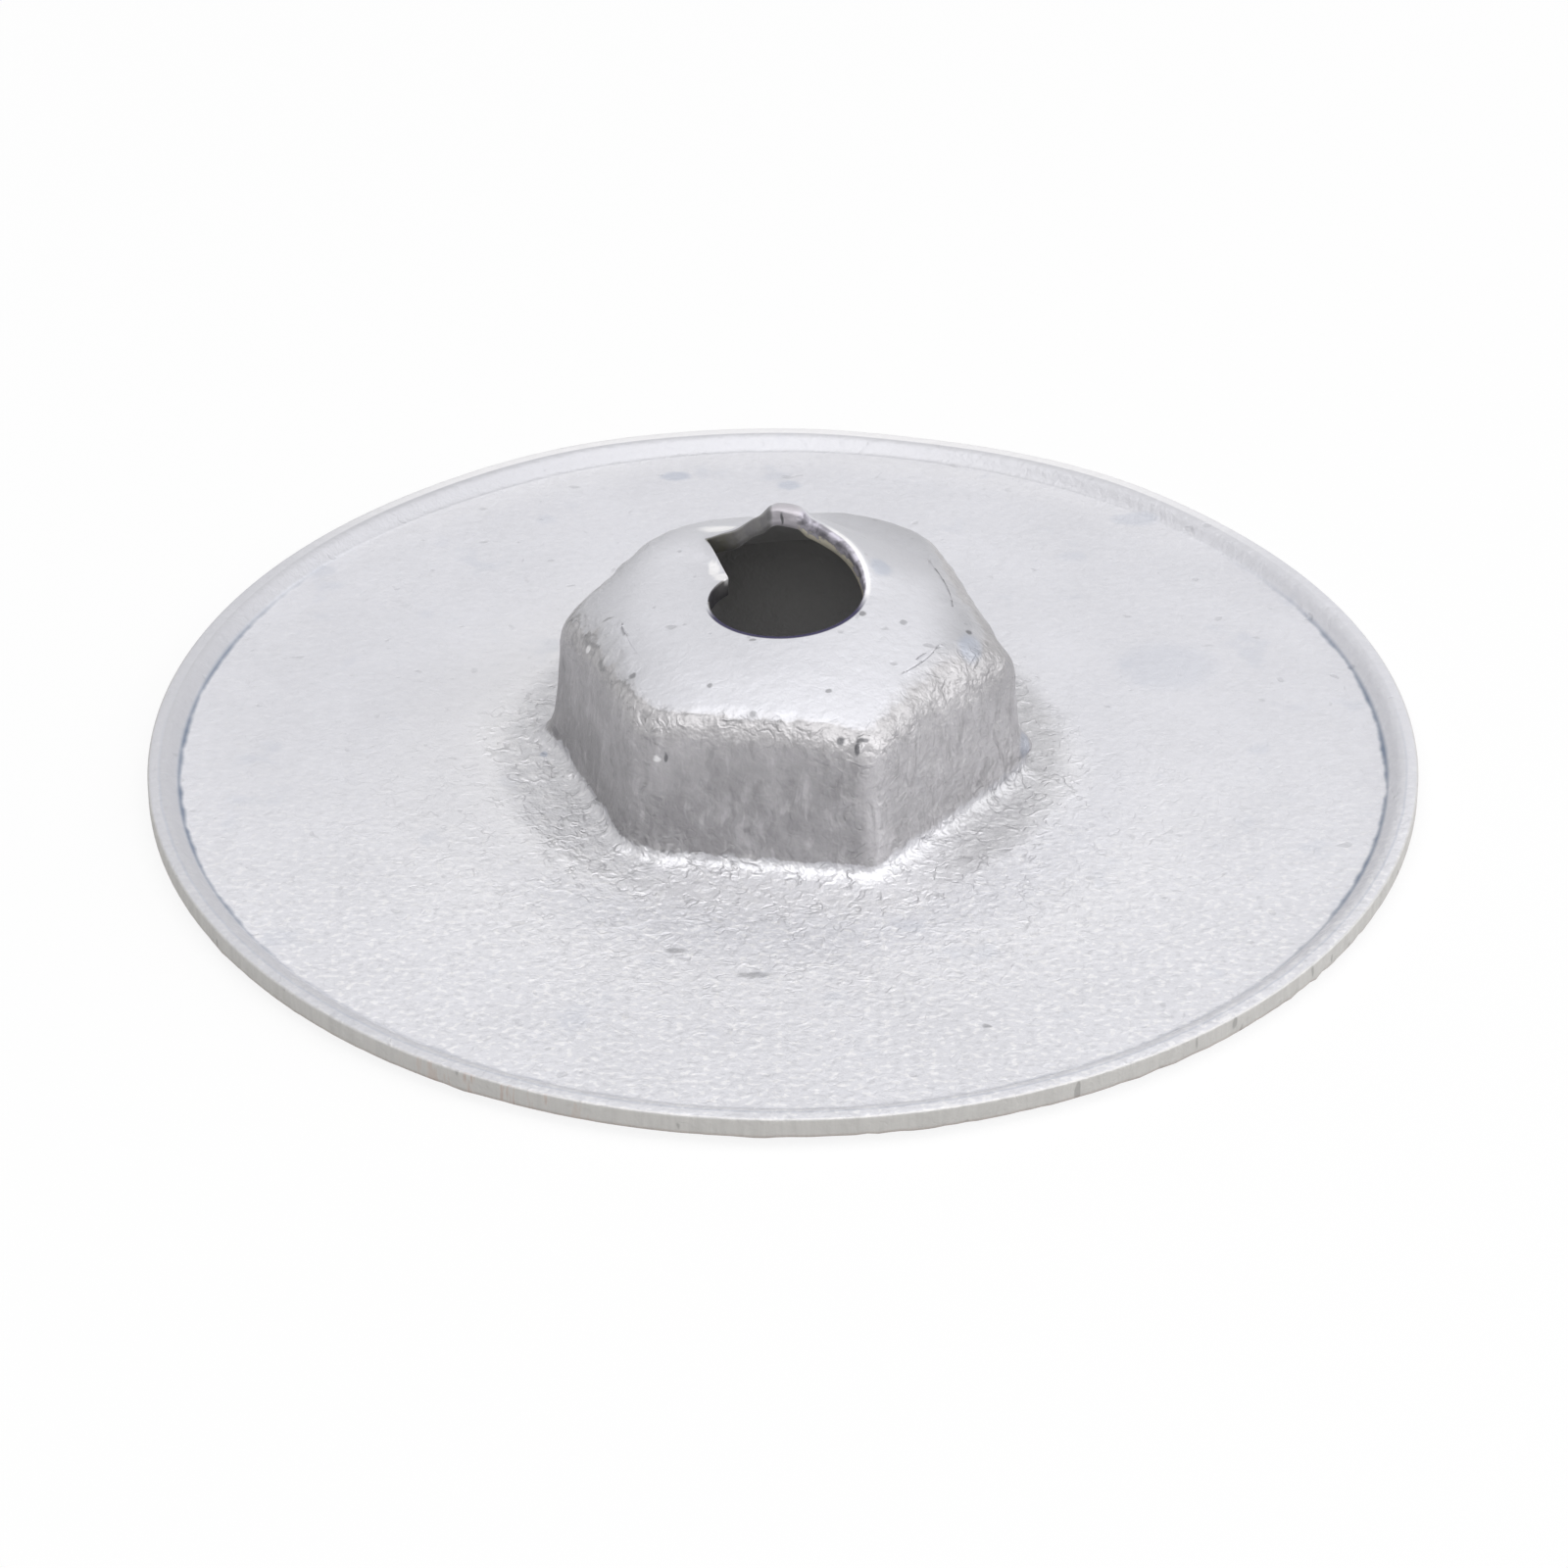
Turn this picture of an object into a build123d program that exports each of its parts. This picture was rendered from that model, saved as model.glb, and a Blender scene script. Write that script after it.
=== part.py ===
from build123d import *
import os
from math import cos, radians, sin, sqrt, tan

# Clip nut: a self-threading nut pressed from one disc of sheet steel.
# A wide flange with a raised rim carries a hollow hexagonal hub. The edge of the hole in the
# hub's crown is formed into one turn of a helix, which runs in the thread of a 5 mm stud.
# Millimetres. The origin is the centre of the flange's underside and +Z points up the stud.

# Steel sheet
sheet = 0.5

# Flange, and the step that raises its rim
flange_diameter = 30.0
rim_width = 0.65
rim_slope_width = 0.42
rim_lift = 0.28
rim_edge_chamfer = 0.1

# Hexagonal hub, measured on its outside
hex_across_flats = 10.0
hex_turn = -9.0
hex_corner_radius = 1.0
wall_draft = 4.6
foot_radius = 0.45
shoulder_radius = 0.85

# Crown, a shallow dome that closes the hub
crown_height = 5.05
crown_radius = 14.0

# Hole and helical lip, with angles in degrees anticlockwise from +X
hole_diameter = 3.6
lip_rise = 1.6
beak_angle = 138.0
nub_angle = 100.0
beak_drop = 0.3
even_rise_share = 0.4
end_bend_start = 0.66
lip_form_inset = 0.74

# Notch where the two ends of the lip part
notch_reach = 3.35
notch_angle = 125.0
beak_tip_radius = 0.12
nub_tip_radius = 0.25
notch_root_radius = 0.06

# Worked out from the sizes above
hole_radius = hole_diameter / 2
hex_apothem = hex_across_flats / 2 + sheet * tan(radians(wall_draft))
crown_apothem = hex_apothem - crown_height * tan(radians(wall_draft))
lip_form_radius = crown_apothem - lip_form_inset
lip_turn = 360.0 + nub_angle - beak_angle

# A radius outside the hub and inside the rim
hub_reach = 7.5

# An edge this close to upright is a corner of the hexagon
upright_share = 0.8

# The lip is lofted in two half turns
loft_start = 60.0
loft_step = 15.0
loft_overlap = 0.25
profile_points = 6


def smooth(share):
    """Rise from 0 to 1 with no slope at either end."""
    share = min(1.0, max(0.0, share))
    return share * share * (3.0 - 2.0 * share)


def crown_level(radius):
    """Height of the plain dome at a radius."""
    return crown_height - crown_radius + sqrt(crown_radius**2 - radius**2)


def lip_lift(angle):
    """How far the lip's edge stands above the dome at an angle."""
    past_beak = (angle - beak_angle) % 360.0
    if past_beak <= lip_turn:
        share = past_beak / lip_turn
        end_bend = smooth((share - end_bend_start) / (1.0 - end_bend_start))
        return lip_rise * (even_rise_share * share + (1.0 - even_rise_share) * end_bend) - beak_drop
    share = (past_beak - lip_turn) / (360.0 - lip_turn)
    return lip_rise * (1.0 - smooth(share)) - beak_drop


def lip_level(radius, angle):
    """Height of the crown's top where the lip is formed."""
    share = (lip_form_radius - radius) / (lip_form_radius - hole_radius)
    return crown_level(radius) + lip_lift(angle) * smooth(share)


def lip_section(angle):
    """Section through the sheet of the crown, in the half plane at an angle."""
    x_dir = (cos(radians(angle)), sin(radians(angle)), 0)
    z_dir = (sin(radians(angle)), -cos(radians(angle)), 0)
    inside = hole_radius - loft_overlap
    step = (lip_form_radius - inside) / (profile_points - 1)
    radii = [inside + step * i for i in range(profile_points)]
    radii.append(lip_form_radius + loft_overlap)
    top = Edge.make_spline([Vector(r, lip_level(r, angle)) for r in radii], parameters=radii)
    with BuildSketch(Plane(origin=(0, 0, 0), x_dir=x_dir, z_dir=z_dir)) as section:
        with BuildLine():
            add([top, Pos(0, -sheet) * top])
            Line(top @ 0, top @ 0 - (0, sheet))
            Line(top @ 1, top @ 1 - (0, sheet))
        make_face()
    return section.sketch


def half_lip(start_angle):
    """Half a turn of the crown's formed sheet, with its share of the hole and notch cut straight up."""
    with BuildPart() as half:
        for i in range(int(180.0 / loft_step) + 1):
            add(lip_section(start_angle + loft_step * i))
        loft()
        Cylinder(lip_form_radius, 4 * crown_height, mode=Mode.INTERSECT)
        extrude(opening.sketch, amount=crown_height, mode=Mode.SUBTRACT)
    return half.part


def near_hub(edge):
    """Whether an edge lies round the hub and not out on the rim."""
    middle = edge.position_at(0.5)
    return sqrt(middle.X**2 + middle.Y**2) < hub_reach


def hub_form(inset):
    """Solid outline of the hub: outside the sheet at no inset, inside it at the sheet's own."""
    dome_radius = crown_radius - inset
    reach_level = crown_height - crown_radius + sqrt(dome_radius**2 - hub_reach**2)
    with BuildPart() as form:
        with BuildSketch():
            RegularPolygon(hex_apothem - inset, 6, major_radius=False, rotation=hex_turn)
        extrude(amount=crown_height + sheet, taper=wall_draft)
        corners = form.edges().filter_by(lambda edge: abs(edge.tangent_at(0.5).Z) > upright_share)
        fillet(corners, hex_corner_radius - inset)
        with BuildSketch(Plane.XZ):
            with BuildLine():
                dome = RadiusArc((0, crown_height - inset), (hub_reach, reach_level), dome_radius)
                Polyline(dome @ 1, (hub_reach, -sheet), (0, -sheet), dome @ 0)
            make_face()
        revolve(axis=Axis.Z, mode=Mode.INTERSECT)
        fillet(form.faces().filter_by(GeomType.SPHERE).edges(), shoulder_radius - inset)
    return form.part


# Hole and notch, seen from above
notch_points = [(hole_radius, beak_angle), (notch_reach, notch_angle), (hole_radius, nub_angle)]
notch_radii = [beak_tip_radius, notch_root_radius, nub_tip_radius]
notch_corners = [(r * cos(radians(a)), r * sin(radians(a))) for r, a in notch_points]
with BuildSketch(Plane.XY.offset(crown_height / 2)) as opening:
    Circle(hole_radius)
    Polygon((0, 0), *notch_corners, align=None)
    for corner, radius in zip(notch_corners, notch_radii):
        nearest = opening.vertices().sort_by_distance(corner)[0]
        fillet(nearest, radius)

hub_outside = hub_form(0.0)
hub_inside = hub_form(sheet)
first_half_lip = half_lip(beak_angle + loft_start)
second_half_lip = half_lip(beak_angle + loft_start + 180.0)

with BuildPart() as clip_nut:
    # Flange and rim, one thickness of sheet along its middle line, creased sharp inside each bend
    with BuildSketch(Plane.XZ):
        with BuildLine() as middle:
            FilletPolyline(
                (0, sheet / 2),
                (flange_diameter / 2 - rim_width, sheet / 2),
                (flange_diameter / 2 - rim_width + rim_slope_width, sheet / 2 + rim_lift),
                (flange_diameter / 2, sheet / 2 + rim_lift),
                radius=sheet / 2,
            )
        trace(middle.line, line_width=sheet)
    revolve(axis=Axis.Z)
    top_circles = clip_nut.edges().filter_by(GeomType.CIRCLE).group_by(Axis.Z)[-1]
    chamfer(top_circles.sort_by(SortBy.RADIUS)[-1], rim_edge_chamfer)

    # Hub outside, with the bend at its foot
    add(hub_outside)
    at_flange = clip_nut.edges().filter_by_position(Axis.Z, sheet, sheet)
    fillet(at_flange.filter_by(near_hub), foot_radius)

    # Hollow inside
    add(hub_inside, mode=Mode.SUBTRACT)
    fillet(clip_nut.edges().group_by(Axis.Z)[0].filter_by(near_hub), foot_radius + sheet)

    # Crown with the helical lip in place of the plain dome
    with Locations((0, 0, crown_height)):
        Cylinder(lip_form_radius, crown_height, mode=Mode.SUBTRACT)
    add([first_half_lip, second_half_lip])

clip_nut.part.label = "clip_nut"
os.makedirs("parts", exist_ok=True)
export_step(clip_nut.part, "parts/clip_nut.step")
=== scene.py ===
import math

import bpy
import numpy as np
from bpy.props import FloatProperty, FloatVectorProperty, IntProperty, PointerProperty
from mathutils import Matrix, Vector, noise


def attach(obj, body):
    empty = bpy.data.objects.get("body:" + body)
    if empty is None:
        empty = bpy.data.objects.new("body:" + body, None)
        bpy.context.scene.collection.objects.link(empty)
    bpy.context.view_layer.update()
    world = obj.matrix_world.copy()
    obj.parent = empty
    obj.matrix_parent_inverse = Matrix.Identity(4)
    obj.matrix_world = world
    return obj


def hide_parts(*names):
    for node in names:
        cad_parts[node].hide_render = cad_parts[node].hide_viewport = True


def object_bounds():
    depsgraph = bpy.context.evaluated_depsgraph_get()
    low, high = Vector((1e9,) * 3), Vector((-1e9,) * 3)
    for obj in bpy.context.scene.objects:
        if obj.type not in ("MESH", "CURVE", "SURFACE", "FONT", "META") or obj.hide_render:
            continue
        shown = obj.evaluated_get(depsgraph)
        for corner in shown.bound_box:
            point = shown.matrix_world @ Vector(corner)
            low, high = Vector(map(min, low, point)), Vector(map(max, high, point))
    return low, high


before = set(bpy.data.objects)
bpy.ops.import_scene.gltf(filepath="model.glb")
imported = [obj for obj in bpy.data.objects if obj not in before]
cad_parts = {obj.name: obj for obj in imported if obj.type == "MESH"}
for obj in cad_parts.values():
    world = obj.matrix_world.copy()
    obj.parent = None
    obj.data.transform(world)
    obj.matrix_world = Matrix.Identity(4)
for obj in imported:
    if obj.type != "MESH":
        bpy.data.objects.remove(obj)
cad_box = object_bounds()

bl_info = {
    "name": "Clip nut",
    "version": (1, 0, 0),
    "blender": (4, 5, 0),
    "location": "3D View > Sidebar > Clip Nut",
    "description": "Models a pressed sheet-steel clip nut and its studio",
    "category": "Add Mesh",
}

# The nut's own frame is in millimetres: the flange's underside is at 0 and +Z points up the stud.
# Angles run anticlockwise from +X, in degrees.
MM = 0.001


# The photograph's camera: lengths in millimetres, angle in degrees, shifts in picture widths.
PICTURE_PIXELS = 1600
SENSOR_WIDTH = 36.0
PHOTO_LENS = 140.4
PHOTO_DISTANCE = 145.0
PHOTO_ELEVATION = 32.97
PHOTO_AIM_LEVEL = 0.4
PHOTO_SHIFT_X = 0.0007
PHOTO_SHIFT_Y = -0.0175


# Sizes and colours a user would change


def a_length(name, description, size):
    """A length that can be set, with its default in millimetres."""
    return FloatProperty(name=name, description=description, default=size * MM, unit="LENGTH", precision=5)


def an_angle(name, description, degrees):
    """An angle that can be set, with its default in degrees."""
    return FloatProperty(name=name, description=description, default=math.radians(degrees), subtype="ANGLE")


def a_power(name, description, watts):
    """A lamp's power that can be set."""
    return FloatProperty(name=name, description=description, default=watts, unit="POWER")


def a_share(name, description, value, most=1.0):
    """A share that can be set, from 0 up to the most that it may be."""
    return FloatProperty(name=name, description=description, default=value, min=0.0, max=most)


def a_tint(name, description, red, green, blue):
    """A colour that can be set."""
    default = (red, green, blue)
    return FloatVectorProperty(name=name, description=description, subtype="COLOR", size=3, default=default)


class NutSizes(bpy.types.PropertyGroup):
    sheet: a_length("Sheet", "Thickness of the sheet", 0.5)
    flange_radius: a_length("Flange radius", "Outer radius of the flange", cad_box[1].y / MM)
    rim_lift: a_length("Rim lift", "How far the rim stands above the flange", 0.27)
    hex_across_flats: a_length("Across flats", "Width of the hexagon at the hub's foot", 10.0)
    hex_turn: an_angle("Hexagon turn", "Direction of one corner of the hexagon", -9.0)
    hex_corner: a_length("Hexagon corner", "Radius of the hexagon's corners", 1.0)
    draft: an_angle("Draft", "Lean of the hub's walls", 4.6)
    foot_radius: a_length("Foot radius", "Bend where the hub rises", 0.45)
    shoulder_radius: a_length("Shoulder radius", "Bend round the crown", 0.85)
    crown_height: a_length("Crown height", "Height of the plain dome's top", 5.05)
    crown_radius: a_length("Crown radius", "Radius of the dome", 14.0)
    hole_radius: a_length("Hole radius", "Radius of the stud hole", 1.8)
    lip_rise: a_length("Lip rise", "Climb of the helical lip in its turn", 1.6)
    sectors: IntProperty(name="Sectors", description="Steps round the nut", default=448, min=96, max=720)


class NutFinish(bpy.types.PropertyGroup):
    zinc: a_tint("Zinc", "Matte zinc plating", 0.70, 0.70, 0.74)
    # Darker zinc on the hub's walls: partly the zinc drawn thin there, partly painted shade of the steep
    # walls.
    hub_zinc_and_shade: a_tint("Hub zinc and shade", "Zinc drawn thin on the hub's walls, darkened as painted shade", 0.43, 0.42, 0.43)
    # Light zinc: the bright flecks of the flange's stipple, and also the colour of painted highlights and
    # painted light.
    burnish_and_highlight: a_tint("Bright zinc and highlight", "Zinc rubbed bright by the tool, and painted highlights", 0.88, 0.87, 0.88)
    # Dark grit, and also the colour of painted shade in the curls' furrows, on a pit's dark side, at the
    # nub's left edge and on the right shoulder.
    grit_and_shade: a_tint("Speck", "Dark grit in the plating, and painted shade", 0.16, 0.16, 0.17)
    # Bluish stains, and also the tint of the painted shade in the rim's crease and along its upper bend at
    # the front.
    stain: a_tint("Stain", "Bluish mark in the plating, and painted shade on the rim", 0.30, 0.36, 0.48)
    cut_steel: a_tint("Cut steel", "Bare edge where the disc was cut", 0.50, 0.49, 0.475)
    rust: a_tint("Rust", "First rust on the cut edge", 0.42, 0.27, 0.20)
    mottle: a_tint("Hole wall", "Sheared wall of the hole", 0.23, 0.22, 0.25)
    gold: a_tint("Gold line", "Yellowed line low on the hole's wall", 0.80, 0.75, 0.62)
    # Painted shade: the dark line where the hole's near edge turns down.
    hole_line: a_tint("Hole edge", "Dark line round the hole's near edge", 0.035, 0.03, 0.08)
    # Lavender grey of the lip's curled end, darkened there as painted shade; made lighter, it is painted
    # light on the hole's wall under the nub.
    nub: a_tint("Nub", "Curled end of the lip", 0.44, 0.42, 0.45)
    # The notch's sheared wall, darkened partly as painted shade, and darker still at its root, whose facet
    # faces away from the lamps.
    notch_grey: a_tint("Notch", "Sheared wall of the notch", 0.27, 0.265, 0.26)
    notch_brown: a_tint("Notch root", "Browner wall near the notch's root", 0.17, 0.165, 0.14)
    inside: a_tint("Inside", "Dull zinc inside the hub", 0.37, 0.365, 0.365)
    metal: a_share("Metal", "How metallic the plating is", 0.35)


class StudioSettings(bpy.types.PropertyGroup):
    camera_distance: a_length("Camera distance", "From the nut to the camera", PHOTO_DISTANCE)
    camera_elevation: an_angle("Camera elevation", "Camera's height above the horizon", PHOTO_ELEVATION)
    lens: FloatProperty(name="Lens", description="Focal length", default=PHOTO_LENS, unit="CAMERA")
    floor_size: a_length("Floor size", "Side of the floor", 1200.0)
    top_power: a_power("Top lamp", "Power of the lamp overhead", 2.9)
    side_power: a_power("Side lamp", "Power of the lamp on the right", 1.0)
    fill: a_share("Fill", "Strength of the even light from all round", 0.16, 2.0)


# Forms of the pressed sheet


def smooth(share):
    """Rise from 0 to 1 with no slope at either end."""
    share = np.clip(share, 0.0, 1.0)
    return share * share * (3.0 - 2.0 * share)


def bump(value, middle, width):
    """A soft hill of height 1 at the middle."""
    return np.exp(-(((value - middle) / width) ** 2))


def away(angle, direction):
    """Signed angle from a direction, from -180 to 180 degrees."""
    return (angle - direction + 180.0) % 360.0 - 180.0


SHEET_LENGTHS = ("sheet", "flange_radius", "rim_lift", "hex_corner", "foot_radius", "shoulder_radius")
SHEET_LENGTHS += ("crown_height", "crown_radius", "hole_radius", "lip_rise")


class PressedSheet:
    """The nut's surfaces as a press would leave them.

    Each gives a radius and a level at angles round the axis.
    """

    beak_angle = 138.0
    nub_angle = 100.0
    notch_angle = 125.0
    notch_reach = 3.35
    beak_drop = 0.3
    even_share = 0.4
    end_bend_start = 0.66
    lip_form_radius = 3.894
    flange_round_radius = 9.0
    foot_pull = 0.13
    foot_reach = 1.05

    def __init__(self, sizes):
        for name in SHEET_LENGTHS:
            setattr(self, name, getattr(sizes, name) / MM)
        self.hex_turn = math.degrees(sizes.hex_turn)
        self.draft = sizes.draft
        self.lean = math.tan(sizes.draft)
        self.apothem = sizes.hex_across_flats / MM / 2 + self.sheet * self.lean
        self.lip_turn = 360.0 + self.nub_angle - self.beak_angle
        self.trace_opening()

    def corner(self, angle, inset):
        """Radius of the hexagon's corners, which the draw left wide at the front left and tight beside it."""
        wide = bump(away(angle, -129.0), 0.0, 24.0)
        tight = bump(away(angle, -69.0), 0.0, 24.0)
        return self.hex_corner * (1.0 + 0.5 * wide - 0.3 * tight) - inset

    def hexagon(self, angle, inset, corner):
        """Radius of a hexagon with rounded corners."""
        apothem = self.apothem - inset
        corner = np.maximum(corner, 0.03)
        off_corner = np.radians(np.abs((angle - self.hex_turn + 30.0) % 60.0 - 30.0))
        off_face = math.radians(30.0) - off_corner
        centre = (apothem - corner) / math.cos(math.radians(30.0))
        flat = apothem / np.cos(off_face)
        across_corner = np.sqrt(np.maximum(corner**2 - (centre * np.sin(off_corner)) ** 2, 0.0))
        rounded = centre * np.cos(off_corner) + across_corner
        on_flat = np.tan(off_face) * apothem < (apothem - corner) * math.tan(math.radians(30.0))
        return np.where(on_flat, flat, rounded)

    def dome(self, radius, inset):
        """Level of the crown's plain dome, or of its underside."""
        sphere = self.crown_radius - inset
        return self.crown_height - self.crown_radius + np.sqrt(sphere**2 - radius**2)

    def lip_lift(self, angle):
        """How far the lip's edge stands above the dome."""
        past_beak = (angle - self.beak_angle) % 360.0
        share = past_beak / self.lip_turn
        end_bend = smooth((share - self.end_bend_start) / (1.0 - self.end_bend_start))
        climb = self.lip_rise * (self.even_share * share + (1.0 - self.even_share) * end_bend)
        fall = self.lip_rise * (1.0 - smooth((past_beak - self.lip_turn) / (360.0 - self.lip_turn)))
        return np.where(past_beak <= self.lip_turn, climb, fall) - self.beak_drop

    def lip_level(self, radius, angle):
        """Level of the crown's top where the lip is formed."""
        share = (self.lip_form_radius - radius) / (self.lip_form_radius - self.hole_radius)
        return self.dome(radius, 0.0) + self.lip_lift(angle) * smooth(share)

    def trace_opening(self):
        """Radius of the hole and its notch at every tenth of a degree, with the corners eased."""
        angles = np.arange(0.0, 360.0, 0.1)
        radius = np.full(angles.shape, self.hole_radius)
        root = self.notch_reach * np.exp(1j * math.radians(self.notch_angle))
        for tip_angle in (self.beak_angle, self.nub_angle):
            tip = self.hole_radius * np.exp(1j * math.radians(tip_angle))
            low, high = sorted((tip_angle, self.notch_angle))
            within = (angles >= low) & (angles <= high)
            direction = np.exp(1j * np.radians(angles[within]))
            along = root - tip
            radius[within] = np.imag(np.conj(along) * tip) / np.imag(np.conj(along) * direction)
        blunt = smooth((angles - 128.0) / 6.0)
        self.opening_angles = angles
        self.opening_radii = (1.0 - blunt) * self.eased(radius, 8.0) + blunt * self.eased(radius, 20.0)

    def eased(self, values, width):
        """Values round the circle, averaged over their neighbours."""
        reach = int(3.0 * width)
        kernel = bump(np.arange(-reach, reach + 1), 0.0, width)
        wrapped = np.concatenate((values[-reach:], values, values[:reach]))
        return np.convolve(wrapped, kernel / kernel.sum(), "valid")

    def opening(self, angle):
        """Radius of the hole's edge, which runs out into the notch."""
        return np.interp(angle % 360.0, self.opening_angles, self.opening_radii, period=360.0)

    def wall_inset(self, level, inset):
        """Inset of the hub's drafted wall from its size at level 0."""
        return inset + level * self.lean

    def shoulder(self, share, angle, inset):
        """Bend from the wall to the dome: share 0 is on the wall and 1 on the dome."""
        full = bump(away(angle, 176.0), 0.0, 32.0) + 1.3 * bump(away(angle, 6.0), 0.0, 34.0)
        full += 0.7 * bump(away(angle, -38.0), 0.0, 20.0)
        bend = self.shoulder_radius * (1.0 + 0.7 * full) - inset
        corner = self.corner(angle, inset)
        loosen = 1.2 * bump(away(angle, 70.0), 0.0, 70.0) - 0.5
        centre_level = self.crown_height - inset - bend - 0.8
        tilt = np.full(angle.shape, 0.3)
        for _ in range(12):
            centre_inset = self.wall_inset(centre_level, inset) + bend / math.cos(self.draft)
            start = centre_inset - bend * math.cos(self.draft)
            end = centre_inset - bend * np.sin(tilt)
            reach = self.hexagon(angle, end, corner + loosen * (end - start))
            further = self.hexagon(angle, end + 0.02, corner + loosen * (end + 0.02 - start))
            rise = (self.dome(further, inset) - self.dome(reach, inset)) / 0.02
            tilt = np.arctan(rise)
            centre_level = self.dome(reach, inset) - bend * np.cos(tilt)
        turn = self.draft + (math.pi / 2 - tilt - self.draft) * share
        point = centre_inset - bend * np.cos(turn)
        radius = self.hexagon(angle, point, corner + loosen * (point - start))
        return radius, centre_level + bend * np.sin(turn)

    def foot(self, share, angle, inset):
        """Bend from the flange to the wall: share 0 is on the wall and 1 on the flange."""
        bend = self.foot_radius + inset
        base = self.sheet - inset
        corner = self.corner(angle, inset)
        if inset == 0.0:
            rest = 1.0 - share
            out = 3.0 * rest**2 * share * self.lean * bend
            out += 3.0 * rest * share**2 * self.foot_pull + share**3 * self.foot_reach
            up = rest**3 * bend + 3.0 * rest**2 * share * 0.24 * bend
            start = self.wall_inset(base + bend, inset)
            return self.hexagon(angle, start - out, corner + out), base + up + np.zeros(angle.shape)
        centre_inset = self.wall_inset(base + bend, inset) - bend / math.cos(self.draft)
        turn = self.draft + (math.pi / 2 - self.draft) * share
        point = centre_inset + bend * np.cos(turn)
        start = centre_inset + bend * math.cos(self.draft)
        level = base + bend - bend * np.sin(turn)
        return self.hexagon(angle, point, corner + (start - point)), level + np.zeros(angle.shape)

    def surface(self, part, share, angle, inset):
        """One stretch of the sheet's top, or of its underside when inset is the sheet's thickness."""
        if part == "lip":
            edge = self.opening(angle) + (self.edge_ease(angle)[0] if inset == 0.0 else 0.04)
            radius = edge + (self.lip_form_radius - edge) * share
            return radius, self.lip_level(radius, angle) - inset
        if part == "crown":
            outer, _ = self.shoulder(1.0, angle, inset)
            radius = self.lip_form_radius + (outer - self.lip_form_radius) * share
            return radius, self.dome(radius, inset)
        if part == "shoulder":
            return self.shoulder(1.0 - share, angle, inset)
        if part == "wall":
            top_radius, top_level = self.shoulder(0.0, angle, inset)
            low_radius, low_level = self.foot(0.0, angle, inset)
            level = top_level + (low_level - top_level) * share
            return self.hexagon(angle, self.wall_inset(level, inset), self.corner(angle, inset)), level
        if part == "foot":
            return self.foot(share, angle, inset)
        inner, level = self.foot(1.0, angle, inset)
        return inner + (self.flange_round_radius - inner) * share, level

    def edge_ease(self, angle):
        """How far the hole's upper edge is rounded over, outwards and downwards."""
        lip = smooth(1.0 - np.abs(away(angle, 55.0)) / 75.0)
        in_notch = smooth(1.0 - np.abs(away(angle, 120.0)) / 24.0)
        return 0.05 + 0.14 * lip * (1.0 - in_notch), 0.05 + 0.09 * lip * (1.0 - in_notch)

    def hole_edge(self, share, angle):
        """The rolled upper edge of the hole: share 0 is on its wall and 1 on the lip's top."""
        wall = self.opening(angle)
        out, down = self.edge_ease(angle)
        crest = self.lip_level(wall, angle)
        shoulder = self.lip_level(wall + out, angle)
        radius = wall + out * share**2
        level = (1.0 - share) ** 2 * (crest - down) + 2.0 * share * (1.0 - share) * crest
        level += share**2 * shoulder
        return radius, level

    def hole_wall(self, share, angle):
        """The hole's cut wall: share 0 is at the underside."""
        wall = self.opening(angle)
        crest = self.lip_level(wall, angle)
        low = crest - self.sheet + 0.04
        high = crest - self.edge_ease(angle)[1]
        return wall, low + (high - low) * share


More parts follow.
